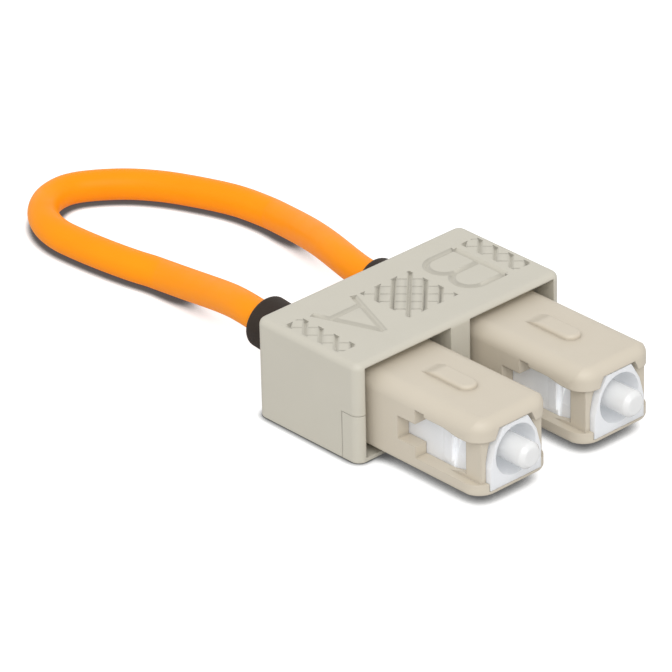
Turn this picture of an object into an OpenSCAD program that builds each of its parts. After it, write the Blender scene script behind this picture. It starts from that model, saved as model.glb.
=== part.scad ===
// Duplex fibre loopback plug. Two push-pull plugs stand side by side in a
// two-part clip block, and a short loop of jacketed fibre joins them behind it.
// Millimetres. X runs across the plugs, -Y is the mating side and +Z is up.
// The origin is the centre of the block's underside. Plug A is at -X, B at +X.

/* [Clip block] */
// Distance between the axes of the two plugs
plug_pitch = 12.7; // [12.5:0.05:13.5]
// Wall at each end of the block
end_wall = 0.95; // [0.8:0.05:1.6]
// Floor under the mouths
floor_t = 0.45; // [0.4:0.05:1.2]
// Roof over the mouths
roof_t = 0.5; // [0.4:0.05:1.2]
// Back wall, which the boots pass through
back_wall = 1.5; // [1.2:0.1:3]
// Depth of the wide mouth round each plug
mouth_depth = 3.5; // [3:0.1:5]
// Gap beside and below each plug in its mouth
mouth_gap = 0.75; // [0.5:0.05:1]
// Gap over each plug in its mouth
mouth_gap_top = 0.85; // [0.5:0.05:1]
// Depth of the close seat that grips each outer shell
seat_depth = 5.8; // [5:0.1:8]
// Depth of the chamber between the seats and the back wall
chamber_depth = 2.25; // [2.2:0.05:4]
// Radius of the block's four upright edges
edge_upright_r = 0.9; // [0.75:0.05:1.5]
// Radius of the block's top edges
edge_top_r = 0.67; // [0.3:0.01:0.7]
// Radius of the block's bottom edges
edge_bottom_r = 0.17; // [0.1:0.01:0.3]

/* [Parting of the block] */
// Height at which the base meets the cover
parting_z = 4.7; // [4.3:0.05:4.9]
// Depth of the base's own corner posts at the front
post_depth = 2.05; // [1.5:0.05:3]
// Gap along the parting line
seam = 0.05; // [0.04:0.01:0.12]
// Diameter of the peg that lines the cover up with the base
peg_d = 1.6; // [1.2:0.1:2]
// Height of the peg above the parting
peg_h = 2.4; // [1.5:0.1:3]
// Thickness of each snap hook
hook_t = 0.85; // [0.7:0.05:1]
// Reach of the hook's barb
barb_reach = 0.4; // [0.3:0.05:0.5]
// Height of the hook above the parting
hook_rise = 3; // [2.4:0.1:3.4]

/* [Knurled patches] */
// Distance between grooves
knurl_pitch = 1.4; // [1.2:0.05:1.8]
// Width of a broad groove at the surface
knurl_groove = 0.55; // [0.3:0.05:0.7]
// Depth of a broad groove
knurl_depth = 0.25; // [0.1:0.01:0.28]
// Width of the fine grooves that cross the broad ones
cross_groove = 0.2; // [0.1:0.05:0.3]
// Depth of the fine grooves
cross_depth = 0.08; // [0.05:0.01:0.12]
// Size of the middle patch across the block
patch_w = 6; // [4:0.1:7]
// Size of the middle patch from front to back
patch_d = 6.3; // [4:0.1:8]
// Width of each patch at the block's ends
band_w = 2; // [1:0.1:2.5]
// Length of each patch at the block's ends
band_d = 7.1; // [4:0.1:9]
// Distance from the block's end to the end patch
band_inset = 0.8; // [0.7:0.1:1.5]

/* [Outer shell] */
// Width of an outer shell
shell_w = 8.9; // [8.8:0.05:9]
// Height of an outer shell
shell_h = 7.3; // [7.2:0.05:7.5]
// Length of shell in front of the block
shell_out = 13.3; // [12.5:0.1:15]
// Radius of the long top edges
shell_top_r = 1.45; // [1:0.05:1.6]
// Radius of the long bottom edges
shell_bottom_r = 0.35; // [0.2:0.05:0.5]
// Radius of the front corners, seen from above
nose_corner_r = 1.9; // [1.5:0.05:2]
// Radius of the top plate's front edge
nose_edge_r = 1.1; // [0.5:0.05:1.4]
// Radius of the lower plate's front edge
nose_base_r = 0.3; // [0.1:0.05:0.35]
// How far the plug's axis lies below the middle of its shell
axis_drop = 0.2; // [0:0.05:0.25]

/* [Side windows] */
// Distance from the nose to the back of the front post
post_back = 2.4; // [2:0.05:2.5]
// How far the front post stands back from the nose
post_set = 0.55; // [0.3:0.05:0.8]
// Width of the front post, and of the inner layer of the side wall behind it
post_w = 0.55; // [0.4:0.05:0.65]
// Length of the main window behind the front post
window_len = 5.5; // [5:0.1:6]
// Length of the low slot behind the main window
slot_len = 2.2; // [1.5:0.1:2.6]
// Length of the notch at the back of the window's top edge
notch_len = 1.1; // [0.8:0.1:1.5]
// Height of the window's lower edge below the shell's middle
window_low = 2.5; // [2.4:0.05:2.7]
// Height of the window's upper edge above the shell's middle
window_high = 1.95; // [1.8:0.05:2.05]
// Height of the notch above the shell's middle
notch_high = 2.25; // [2.1:0.05:2.4]
// Height of the slot's lower edge below the shell's middle
slot_low = 1.4; // [1:0.05:1.8]
// Height of the slot's upper edge above the shell's middle
slot_high = 0.85; // [0.6:0.05:1.4]
// Drop of the release cam at the front of the window
cam_drop = 0.3; // [0.1:0.05:0.5]
// Length over which the cam drops
cam_len = 2; // [1.5:0.1:2.5]
// Distance from the front post to the cam's foot
cam_flat = 0.2; // [0:0.1:0.5]

/* [Key] */
// Width of the key on the shell's top
key_w = 1.9; // [1.5:0.05:2.2]
// Height of the key
key_h = 0.45; // [0.3:0.05:0.6]
// Length of the key
key_len = 5.7; // [4:0.1:6.5]
// Length of the ramp at the key's back end
key_ramp = 1.8; // [1:0.1:2.5]
// Distance from the nose to the key
key_back = 5.1; // [4:0.1:7]
// Radius of the key's edges
key_edge_r = 0.3; // [0.15:0.05:0.3]

/* [Plug frame] */
// Width of the plug frame
frame_w = 6.1; // [6:0.05:6.3]
// Height of the plug frame
frame_h = 6; // [5.9:0.05:6.1]
// Radius of the arc that cuts the frame's top corners
frame_arc_r = 3.25; // [3.15:0.05:3.6]
// Width of the flat on top of the frame's nose
nose_flat_w = 3; // [2:0.1:3.4]
// Wall beside the bore at the hips, where the nose's top corners start to slope
nose_hip_wall = 0.1; // [0.1:0.05:0.4]
// Height of the hips above the axis
nose_hip_z = 1.05; // [0.8:0.05:1.4]
// Height below the axis at which the nose's sides start to lean in
nose_lean_z = 0.9; // [0.6:0.05:1]
// Wall over the bore at the nose
nose_roof = 0.35; // [0.3:0.05:0.6]
// Length of the plug frame
frame_len = 15.8; // [15:0.1:16.5]
// Bore round the ferrule
bore_d = 4.8; // [4.7:0.05:4.85]
// Depth of the bore
bore_len = 4.9; // [4.4:0.1:5.2]
// Thickness of the stop that the ferrule's flange rests on
stop_t = 1; // [0.8:0.1:1.5]
// Hole in the stop
stop_d = 3.9; // [3.8:0.05:4.1]
// Width of the frame's narrow rear part
frame_rear_w = 5.5; // [5.4:0.05:5.8]
// Length of the frame's wide front part
frame_wide_len = 10.9; // [10.5:0.1:12]
// How far the latch rib stands out from the frame's side
rib_out = 0.3; // [0.2:0.05:0.4]
// Thickness of the latch rib
rib_t = 1; // [0.7:0.05:1.2]
// Width of the groove before the latch rib
groove_t = 0.45; // [0.3:0.05:0.6]
// Depth of the groove before the latch rib
groove_depth = 0.15; // [0.1:0.05:0.2]
// Distance from the nose to the groove
groove_start = 4.05; // [3.7:0.05:4.3]
// Height of the rib below the axis
rib_low = 1.75; // [1.5:0.05:1.8]
// Height of the rib above the axis
rib_high = 1.55; // [1:0.05:1.6]
// Travel of the plug frame out of its shell
release_travel = 1.2; // [0.8:0.05:1.2]

/* [Ferrule and spring] */
// Diameter of the ferrule
ferrule_d = 2.5; // [2.49:0.01:2.51]
// How far the ferrule stands out of the nose
ferrule_out = 2; // [1:0.1:2.2]
// Length of the ferrule's tip chamfer
tip_len = 0.4; // [0.2:0.05:0.5]
// Width of the ferrule's tip chamfer
tip_w = 0.35; // [0.1:0.05:0.4]
// Diameter of the ferrule's shank in its flange
shank_d = 2; // [1.8:0.05:2.1]
// Length of the ferrule's shank
shank_len = 2.4; // [2:0.1:3]
// Diameter of the flange
flange_d = 4.5; // [4.4:0.05:4.6]
// Thickness of the flange
flange_t = 1.5; // [1:0.1:2]
// Width of the flange's four keyways
keyway_w = 0.7; // [0.5:0.05:0.9]
// Depth of the keyways
keyway_depth = 0.4; // [0.2:0.05:0.5]
// Diameter of the boss that centres the spring
boss_d = 2.7; // [2.6:0.05:2.8]
// Length of the boss
boss_len = 1; // [0.6:0.1:1.5]
// Diameter of the flange's tail
tail_d = 1.9; // [1.7:0.05:1.95]
// Length of the flange's tail
tail_len = 3.9; // [3:0.1:4.2]
// Travel of the ferrule into the plug
float_travel = 1.5; // [1:0.1:1.6]
// Diameter of the spring wire
wire_d = 0.4; // [0.3:0.02:0.44]
// Mean diameter of the spring
coil_d = 3.4; // [3.3:0.05:3.6]
// Turns of the spring
coil_turns = 7; // [5:1:9]

/* [Cable end] */
// Length of the post's ring inside the frame
ring_len = 1.5; // [1:0.1:2]
// Thickness of the post's collar behind the frame
collar_t = 0.8; // [0.5:0.1:1.2]
// Diameter of the post's collar
collar_d = 5.3; // [5.1:0.05:5.5]
// Diameter of the post's tail
post_d = 3.6; // [3.4:0.05:3.7]
// Bore of the post
post_bore_d = 2.1; // [2.05:0.05:2.4]
// Grooves round the post's tail
post_grooves = 5; // [2:1:6]
// Depth of the grooves round the post's tail
post_groove_depth = 0.12; // [0.05:0.01:0.2]
// Wall of the crimp sleeve
crimp_wall = 0.33; // [0.25:0.01:0.4]
// Length of the crimp sleeve over the post
crimp_grip = 4; // [3:0.1:4.5]
// Length of the crimp sleeve over the cable
crimp_neck = 3; // [2:0.1:4]
// Diameter of the tight buffer round the fibre
buffer_d = 0.9; // [0.8:0.05:0.95]
// Diameter of the cable
cable_d = 3; // [2.8:0.05:3.1]

/* [Boot] */
// Wall of a boot round the crimp sleeve
boot_wall = 0.33; // [0.28:0.01:0.5]
// Length of a boot
boot_len = 10; // [9.5:0.1:11]
// Length of boot behind the block
boot_out = 5; // [4:0.1:6]
// Radius of the boot's back rim
boot_rim_r = 0.5; // [0.2:0.05:0.6]
// How far the boot reaches over the end of the post
boot_grip = 1.5; // [1:0.1:2.5]
// Distance from the block's back to the place where each boot bends
boot_bend = 1.25; // [1.2:0.05:2]
// Angle at which boot A bends up
boot_up_a = 6; // [-8:1:8]
// Angle at which boot B bends up, below zero for down
boot_up_b = -6; // [-8:1:8]
// How far boot A sits further back than the middle of its play
boot_slip_a = 0.7; // [-0.6:0.1:0.7]
// How far boot B sits further back than the middle of its play
boot_slip_b = -0.3; // [-0.6:0.1:0.7]
// Play of a boot along the crimp sleeve
boot_play = 0.6; // [0.6:0.1:0.8]
// Between the cable and the stretch of the boot behind its bend
bent_clear = 0.25; // [0.2:0.05:0.4]

/* [Clearances] */
// Between an outer shell and the block's seat
seat_clear = 0.04; // [0.02:0.01:0.06]
// Between the plug frame and its shell, each side
slide_clear = 0.05; // [0.03:0.01:0.08]
// Between the hips of the frame's nose and the shell's front opening, each side
hip_clear = 0.3; // [0.2:0.05:0.35]
// Between the ends of the nose's flat top and those of the opening
flat_clear = 0.45; // [0.3:0.05:0.6]
// Between the nose's flat top and the opening
top_clear = 0.1; // [0.05:0.05:0.2]
// How much higher the opening's sides start to lean in than the nose's
lean_clear = 0.6; // [0.4:0.05:0.9]
// Between pieces that are pressed or screwed up tight
tight_clear = 0.02; // [0.01:0.01:0.03]
// Between the flange and the frame's cavity
flange_clear = 0.2; // [0.15:0.01:0.3]
// Between the boot and the hole in the back wall
boot_clear = 0.15; // [0.1:0.01:0.3]
// Between the cable and what it passes through
cable_clear = 0.1; // [0.08:0.01:0.15]
// Left at the end of a sliding piece's travel
stop_clear = 0.05; // [0.03:0.01:0.1]

/* [Shell retention] */
// Width of the ribs that hold each shell in its seat
hold_rib_w = 1; // [0.8:0.05:1.4]
// Height of the holding ribs
hold_rib_h = 0.35; // [0.2:0.05:0.45]
// Distance from the mouth to the holding ribs
hold_rib_back = 2; // [1.5:0.1:3]

/* [Hidden] */
$fn = 64;

SIDE_A = -1;
SIDE_B = 1;
// Overshoot of every cut past the face that it opens
past = 1;

BLOCK_GREY = [0.80, 0.79, 0.74];
SHELL_BEIGE = [0.83, 0.79, 0.72];
FRAME_WHITE = [0.93, 0.93, 0.94];
CERAMIC_WHITE = [0.96, 0.96, 0.96];
METAL = [0.72, 0.72, 0.74];
STEEL = [0.60, 0.61, 0.63];
BOOT_BLACK = [0.12, 0.12, 0.12];
CABLE_ORANGE = [1.00, 0.55, 0.12];

// The block, from the plugs outwards
mouth_w = shell_w + 2 * mouth_gap;
block_w = plug_pitch + mouth_w + 2 * end_wall;
block_d = mouth_depth + seat_depth + chamber_depth + back_wall;
shell_z = floor_t + mouth_gap + shell_h / 2;
axis_z = shell_z - axis_drop;
mouth_top = shell_z + shell_h / 2 + mouth_gap_top;
block_h = mouth_top + roof_t;
front_y = -block_d / 2;
back_y = block_d / 2;
seat_y = front_y + mouth_depth;
chamber_y = seat_y + seat_depth;
back_wall_y = chamber_y + chamber_depth;
inner_half_w = block_w / 2 - end_wall;
hold_rib_y = seat_y + hold_rib_back;

// The plugs: distances along Y are counted from the nose of the shells
nose_y = front_y - shell_out;
shell_len = chamber_y - nose_y;
channel_w = frame_w + 2 * slide_clear;
channel_h = frame_h + 2 * slide_clear;
window_end = post_back + window_len;
slot_end = window_end + slot_len;
notch_start = window_end - notch_len;
cam_foot = post_back + cam_flat;
cam_head = cam_foot + cam_len;
cam_high = window_high - cam_drop;
wall_mid = channel_w / 2 + post_w;

rib_start = groove_start + groove_t;
nose_hip_w = bore_d + 2 * nose_hip_wall;
nose_top_z = bore_d / 2 + nose_roof;

// The ferrule, its flange and spring
cavity_d = flange_d + 2 * flange_clear;
cavity_start = bore_len + stop_t;
flange_start = cavity_start + tight_clear;
flange_end = flange_start + flange_t;
boss_end = flange_end + boss_len;
tail_end = flange_end + boss_len + tail_len;
shank_end = cavity_start + shank_len;
ring_start = frame_len - ring_len;
collar_start = frame_len + tight_clear;
collar_end = collar_start + collar_t;

// The cable end, counted back from the boots
boot_start = back_y + boot_out - boot_len - nose_y;
boot_end = boot_start + boot_len;
bend_y = back_y + boot_bend - nose_y;
bent_len = boot_out - boot_bend;
post_end = boot_start + boot_grip;
crimp_start = post_end - crimp_grip;
crimp_step = post_end + crimp_wall;
crimp_end = post_end + crimp_neck;
buffer_start = shank_end + 2 * tight_clear;
buffer_end = post_end - float_travel - 4 * cable_clear;
cable_hole_r = cable_d / 2 + cable_clear;
crimp_big_r = post_d / 2 + tight_clear + crimp_wall;
crimp_small_r = cable_hole_r + crimp_wall;
boot_d = 2 * (crimp_big_r + tight_clear + boot_wall);

// Route of the cable from plug A's post round to plug B's post. It follows the
// bend of each boot, droops to the surface the plug stands on and lies there.
CABLE_ROUTE = [
    [-6.35, 3.1, 4.65], [-6.35, 8.475, 4.65], [-6.35, 12.2, 5.04],
    [-6.1, 14.2, 5], [-5.4, 16.3, 4.7], [-4.7, 18.6, 4.15],
    [-4.1, 21.5, 3.3], [-3.4, 24.5, 2.5], [-2.9, 27.5, 1.8],
    [-2.9, 30.5, 1.5], [-3.5, 33.5, 1.5], [-4, 37, 1.5],
    [-4.3, 40.5, 1.5], [-4.3, 43, 1.5], [-3.7, 45.4, 1.5],
    [-2.4, 47.5, 1.5], [-0.4, 49, 1.5], [2, 49.4, 1.5],
    [4.2, 48.5, 1.5], [6.9, 46.3, 1.5], [9, 43.5, 1.5],
    [10.6, 40.2, 1.5], [11.9, 36.6, 1.5], [12.4, 33.4, 1.5],
    [12.4, 30.4, 1.6], [11.8, 27.8, 2], [10.9, 25, 2.7],
    [9.7, 22, 3.4], [8.4, 19, 4.1], [7.3, 16.2, 4.45],
    [6.6, 13.6, 4.4], [6.35, 11.2, 4.26], [6.35, 7.475, 4.65],
    [6.35, 3.1, 4.65]
];
CABLE_SIDES = 8;
// Shape of the spring's wire: sides of its section, and sections in a turn
WIRE_SIDES = 6;
TURN_STEPS = 14;
CAM_STEPS = 8;

// ---- Small tools ----

// Extrudes a profile drawn in X and Z along Y, from y0 to y1
module along_y(y0, y1) {
    translate([0, y1, 0])
        rotate([90, 0, 0])
            linear_extrude(y1 - y0)
                children();
}

// Extrudes a profile drawn in Y and Z along X, from x0 to x1
module along_x(x0, x1) {
    translate([x0, 0, 0])
        rotate([90, 0, 90])
            linear_extrude(x1 - x0)
                children();
}

// Turns a profile of radius and distance round the Y axis
module round_y() {
    rotate([-90, 0, 0])
        rotate_extrude()
            children();
}

// A plain round bar on the Y axis, from y0 to y1
module bar_y(y0, y1, d) {
    translate([0, y0, 0])
        rotate([-90, 0, 0])
            cylinder(h = y1 - y0, d = d);
}

// A box given by its low and high corners
module box(low, high) {
    translate(low)
        cube(high - low);
}

// Moves a plug's own frame, with its axis on Y and its nose at 0, into place
module at_plug(side) {
    translate([side * plug_pitch / 2, nose_y, axis_z])
        children();
}

// The same for a shape drawn round the middle of the outer shell
module at_shell(side) {
    translate([side * plug_pitch / 2, nose_y, shell_z])
        children();
}

// Both sides of a plug, from a shape drawn at +X
module both_sides() {
    children();
    mirror([1, 0, 0])
        children();
}

// A rectangle centred on X, standing on Y, with round top and bottom corners
module soft_rect(w, low, high, top_r, bottom_r) {
    for (s = [-1, 1]) {
        translate([s * (w / 2 - top_r), high - top_r])
            circle(r = top_r);
        translate([s * (w / 2 - bottom_r), low + bottom_r])
            circle(r = bottom_r);
    }
    translate([-w / 2, low + bottom_r])
        square([w, high - low - top_r - bottom_r]);
    translate([-w / 2 + top_r, low + bottom_r])
        square([w - 2 * top_r, high - low - bottom_r]);
    translate([-w / 2 + bottom_r, low])
        square([w - 2 * bottom_r, high - low - top_r]);
}

// A whole outline from its half at +X, listed upwards
function both_halves(half) = concat(
    half,
    [for (i = [len(half) - 1 : -1 : 0]) [-half[i][0], half[i][1]]]
);

// Runs from 0 to 1 with a level start and end
function ease(t) = t * t * (3 - 2 * t);

// ---- Clip block ----

// The block's outer form: round upright edges, softer top edges
module block_form() {
    half_w = block_w / 2 - edge_upright_r;
    half_d = block_d / 2 - edge_upright_r;
    along_y(-half_d, half_d)
        soft_rect(block_w, 0, block_h, edge_top_r, edge_bottom_r);
    along_x(-half_w, half_w)
        soft_rect(block_d, 0, block_h, edge_top_r, edge_bottom_r);
    for (sx = [-1, 1], sy = [-1, 1])
        translate([sx * half_w, sy * half_d, 0])
            rotate_extrude()
                intersection() {
                    soft_rect(2 * edge_upright_r, 0, block_h, edge_top_r, edge_bottom_r);
                    square([edge_upright_r, block_h]);
                }
}

// The ribs inside a seat that stand in the shell's side grooves
module seat_ribs(clear) {
    rib_w = hold_rib_w - 2 * clear;
    both_sides()
        box([shell_w / 2 - hold_rib_h + clear, hold_rib_y + clear - nose_y, -shell_h / 2],
            [shell_w / 2 + seat_clear + past, hold_rib_y + clear + rib_w - nose_y, shell_h / 2]);
}

// Everything hollow in the closed block
module block_hollows() {
    for (side = [SIDE_A, SIDE_B]) {
        at_shell(side) {
            // Wide mouth round the plug
            box([-mouth_w / 2, shell_out - past, -shell_h / 2 - mouth_gap],
                [mouth_w / 2, shell_out + mouth_depth, shell_h / 2 + mouth_gap_top]);
            // Close seat, with its holding ribs left standing
            difference() {
                along_y(shell_out, shell_len + past)
                    soft_rect(shell_w + 2 * seat_clear, -shell_h / 2 - seat_clear,
                        shell_h / 2 + seat_clear, shell_top_r, shell_bottom_r);
                seat_ribs(seat_clear);
            }
        }
        // Hole for the boot
        at_plug(side)
            bar_y(shell_len, boot_end, boot_d + 2 * boot_clear);
    }
    // Chamber behind the seats
    box([-inner_half_w, chamber_y, floor_t + mouth_gap],
        [inner_half_w, back_wall_y, mouth_top]);
    // Pockets that the hooks' barbs catch in
    both_sides()
        box([inner_half_w - past, chamber_y, hook_top - 2 * barb_reach - seam],
            [inner_half_w + barb_reach + seam - end_slack, back_wall_y, hook_top + seam]);
}

// How much shorter the barbs are made so that the pocket keeps some wall
end_slack = 2 * seam;
hook_top = parting_z + hook_rise;

// The space that belongs to the base, grown by the parting gap for the cover
module base_zone(gap) {
    box([-inner_half_w + seam - gap, front_y - past, -past],
        [inner_half_w - seam + gap, back_y + past, parting_z + gap]);
    box([-block_w / 2 - past, front_y - past, -past],
        [block_w / 2 + past, front_y + post_depth + gap, parting_z + gap]);
}

// One hook stands inside each end of the chamber
module snap_hook() {
    hook_face = inner_half_w - seam;
    hook_y0 = chamber_y + 3 * seam;
    hook_y1 = back_wall_y - 3 * seam;
    box([hook_face - hook_t, hook_y0, floor_t],
        [hook_face, hook_y1, hook_top]);
    translate([0, hook_y1, 0])
        rotate([90, 0, 0])
            linear_extrude(hook_y1 - hook_y0)
                polygon([
                    [hook_face - hook_t / 2, hook_top - 2 * barb_reach],
                    [hook_face + barb_reach - end_slack, hook_top - 2 * barb_reach],
                    [hook_face + barb_reach - end_slack, hook_top - 1.5 * barb_reach],
                    [hook_face, hook_top],
                    [hook_face - hook_t / 2, hook_top]
                ]);
}

module peg(d, h) {
    translate([0, (seat_y + chamber_y) / 2, parting_z - peg_d])
        cylinder(h = h + peg_d, d = d);
}

module housing_base() {
    color(BLOCK_GREY) {
        difference() {
            intersection() {
                block_form();
                base_zone(0);
            }
            block_hollows();
        }
        both_sides()
            snap_hook();
        peg(peg_d, peg_h);
    }
}

// A row of parallel grooves with sloping sides, cut down from height 0
module groove_row(reach, w, depth) {
    count = ceil(reach / knurl_pitch / sqrt(2));
    for (i = [-count : count])
        translate([0, i * knurl_pitch, 0])
            along_x(-reach, reach)
                polygon([
                    [-w / 2, past], [-w / 2, 0], [-w / 8, -depth],
                    [w / 8, -depth], [w / 2, 0], [w / 2, past]
                ]);
}

// One knurled patch, w by d: broad grooves on one diagonal, fine ones across
module knurl_patch(w, d) {
    reach = (w + d) / 2;
    intersection() {
        box([-w / 2, -d / 2, -past], [w / 2, d / 2, past]);
        union() {
            rotate(45)
                groove_row(reach, knurl_groove, knurl_depth);
            rotate(-45)
                groove_row(reach, cross_groove, cross_depth);
        }
    }
}

module knurling() {
    translate([0, 0, block_h]) {
        knurl_patch(patch_w, patch_d);
        for (s = [-1, 1])
            translate([s * (block_w / 2 - band_inset - band_w / 2), 0, 0])
                knurl_patch(band_w, band_d);
    }
}

module housing_cover() {
    color(BLOCK_GREY)
        difference() {
            block_form();
            block_hollows();
            base_zone(seam);
            peg(peg_d + 2 * tight_clear, peg_h + 2 * seam);
            knurling();
        }
}

// ---- Outer shells ----

// The side window's outline in distance from the nose and height from the
// shell's middle. It starts at the given front.
// The release cam lowers the top edge; on the wall's inner half it raises the
// bottom edge too.
function window_outline(low_cam, front) = concat(
    [for (i = [CAM_STEPS : -1 : 0])
        [cam_foot + cam_len * i / CAM_STEPS, low_cam * (1 - ease(i / CAM_STEPS)) - window_low]],
    [[front, low_cam - window_low], [front, cam_high]],
    [for (i = [0 : CAM_STEPS])
        [cam_foot + cam_len * i / CAM_STEPS, cam_high + cam_drop * ease(i / CAM_STEPS)]],
    [
        [notch_start, window_high], [notch_start, notch_high],
        [window_end, notch_high], [window_end, slot_high],
        [slot_end, slot_high], [slot_end, -slot_low],
        [window_end, -slot_low], [window_end, -window_low]
    ]
);

module shell_windows() {
    both_sides() {
        along_x(wall_mid, shell_w / 2 + past)
            polygon(window_outline(0, -past));
        along_x(channel_w / 2 - slide_clear, wall_mid)
            polygon(window_outline(cam_drop, post_back));
        // The front post stands back from the nose
        box([0, -past, -window_low], [shell_w / 2 + past, post_set, cam_high]);
    }
}

// Cross-section of the shell's opening between its two front posts, which
// follows the frame's nose
module front_opening() {
    polygon(both_halves([
        [channel_w / 2, -channel_h / 2], [channel_w / 2, lean_clear - nose_lean_z],
        [nose_hip_w / 2 + hip_clear, nose_hip_z], [nose_flat_w / 2 + flat_clear, nose_top_z + top_clear]
    ]));
}

// Outline of the shell seen from the side, with round front edges
module shell_side() {
    translate([nose_edge_r, shell_h / 2 - nose_edge_r])
        circle(r = nose_edge_r);
    translate([nose_base_r, nose_base_r - shell_h / 2])
        circle(r = nose_base_r);
    translate([0, nose_base_r - shell_h / 2])
        square([shell_len, shell_h - nose_base_r - nose_edge_r]);
    translate([nose_base_r, -shell_h / 2])
        square([shell_len - nose_base_r, shell_h / 2]);
    translate([nose_edge_r, -shell_h / 2])
        square([shell_len - nose_edge_r, shell_h]);
}

// The shell with round front corners, whose top edge curves round with them
module nose_columns() {
    half_w = shell_w / 2;
    box([nose_corner_r - half_w, 0, -shell_h / 2], [half_w - nose_corner_r, shell_len, shell_h / 2]);
    box([-half_w, nose_corner_r, -shell_h / 2], [half_w, shell_len, shell_h / 2]);
    for (s = [-1, 1])
        translate([s * (half_w - nose_corner_r), nose_corner_r, 0])
            rotate_extrude()
                intersection() {
                    soft_rect(2 * nose_corner_r, -shell_h / 2, shell_h / 2, nose_edge_r, nose_base_r);
                    translate([0, -shell_h / 2])
                        square([nose_corner_r, shell_h]);
                }
}

module shell_form() {
    intersection() {
        along_y(0, shell_len)
            soft_rect(shell_w, -shell_h / 2, shell_h / 2, shell_top_r, shell_bottom_r);
        nose_columns();
        along_x(-shell_w / 2, shell_w / 2)
            shell_side();
    }
}

// The key that stops the plug going in upside down. Its back end ramps away.
module key() {
    key_r = key_w / 2;
    base_z = shell_h / 2 - key_edge_r;
    top_z = shell_h / 2 + key_h;
    key_end = key_back + key_len;
    ramp = [for (i = [0 : CAM_STEPS])
        [key_end - key_ramp * (1 - i / CAM_STEPS), top_z - key_h * ease(i / CAM_STEPS)]];
    difference() {
        union() {
            translate([0, key_back + key_r, 0])
                rotate_extrude()
                    intersection() {
                        soft_rect(key_w, base_z, top_z, key_edge_r, key_edge_r / 2);
                        square([key_r, top_z]);
                    }
            along_y(key_back + key_r, key_end)
                soft_rect(key_w, base_z, top_z, key_edge_r, key_edge_r / 2);
        }
        along_x(-key_w, key_w)
            polygon(concat(
                [[key_end - key_ramp, top_z + past]],
                ramp,
                [[key_end + past, shell_h / 2], [key_end + past, top_z + past]]
            ));
    }
}

module outer_shell(side) {
    color(SHELL_BEIGE)
        at_shell(side) {
            difference() {
                shell_form();
                translate([0, 0, -axis_drop]) {
                    along_y(-past, post_back)
                        front_opening();
                    along_y(post_back, shell_len + past)
                        square([channel_w, channel_h], center = true);
                }
                shell_windows();
                seat_ribs(0);
            }
            key();
        }
}

// ---- Plug frames ----

// Cross-section of the frame: square below, its top corners cut by an arc
module frame_section(w) {
    translate([-w / 2, -frame_h / 2])
        square([w, frame_h / 2]);
    intersection() {
        translate([-w / 2, 0])
            square([w, frame_h / 2]);
        circle(r = frame_arc_r);
    }
}

// Cross-section of the frame's nose, whose sides lean in towards the top
module nose_section() {
    polygon(both_halves([
        [frame_w / 2, -frame_h / 2], [frame_w / 2, -nose_lean_z],
        [nose_hip_w / 2, nose_hip_z], [nose_flat_w / 2, nose_top_z]
    ]));
}

module plug_frame(side) {
    color(FRAME_WHITE)
        at_plug(side)
            difference() {
                union() {
                    // The nose runs on inside the wide part, and so does the rear part
                    along_y(0, groove_start + past)
                        nose_section();
                    along_y(groove_start, frame_wide_len)
                        frame_section(frame_w);
                    along_y(frame_wide_len - past, frame_len)
                        frame_section(frame_rear_w);
                    both_sides()
                        box([0, rib_start, -rib_low],
                            [frame_w / 2 + rib_out, rib_start + rib_t, rib_high]);
                }
                both_sides()
                    box([frame_w / 2 - groove_depth, groove_start, -frame_h / 2 - past],
                        [frame_w / 2 + past, rib_start, frame_h / 2 + past]);
                bar_y(-past, bore_len, bore_d);
                bar_y(0, frame_len, stop_d);
                bar_y(cavity_start, frame_len + past, cavity_d);
            }
}

// ---- Ferrules, flanges and springs ----

module ferrule(side) {
    r = ferrule_d / 2;
    color(CERAMIC_WHITE)
        at_plug(side)
            round_y()
                polygon([
                    [0, -ferrule_out],
                    [r - tip_w, -ferrule_out],
                    [r, tip_len - ferrule_out],
                    [r, cavity_start],
                    [shank_d / 2, cavity_start],
                    [shank_d / 2, shank_end],
                    [0, shank_end]
                ]);
}

module ferrule_flange(side) {
    bore_r = shank_d / 2 + tight_clear;
    buffer_r = buffer_d / 2 + 2 * tight_clear;
    step = shank_end + tight_clear;
    color(METAL)
        at_plug(side)
            difference() {
                round_y()
                    polygon([
                        [bore_r, flange_start], [flange_d / 2, flange_start],
                        [flange_d / 2, flange_end], [boss_d / 2, flange_end],
                        [boss_d / 2, boss_end], [tail_d / 2, boss_end],
                        [tail_d / 2, tail_end], [buffer_r, tail_end],
                        [buffer_r, step], [bore_r, step]
                    ]);
                for (a = [0 : 90 : 270])
                    rotate([0, a, 0])
                        box([flange_d / 2 - keyway_depth, flange_start - past, -keyway_w / 2],
                            [flange_d / 2 + past, flange_end + past, keyway_w / 2]);
            }
}

// Height of the spring's wire after a share t of its turns. The first and the
// last turn lie close, and the turns between them are open.
function coil_rise(t, length) =
    let (
        close = 1.1 * wire_d,
        first = 1 / coil_turns,
        open = length - 2 * close
    )
    t < first ? close * t / first
    : t > 1 - first ? length - close * (1 - t) / first
    : close + open * (t - first) / (1 - 2 * first);

function coil_point(t, angle, length) =
    let (
        turn = 360 * coil_turns * t,
        r = coil_d / 2 + wire_d / 2 * cos(angle)
    )
    [r * cos(turn), coil_rise(t, length) + wire_d / 2 * sin(angle), r * sin(turn)];

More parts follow.
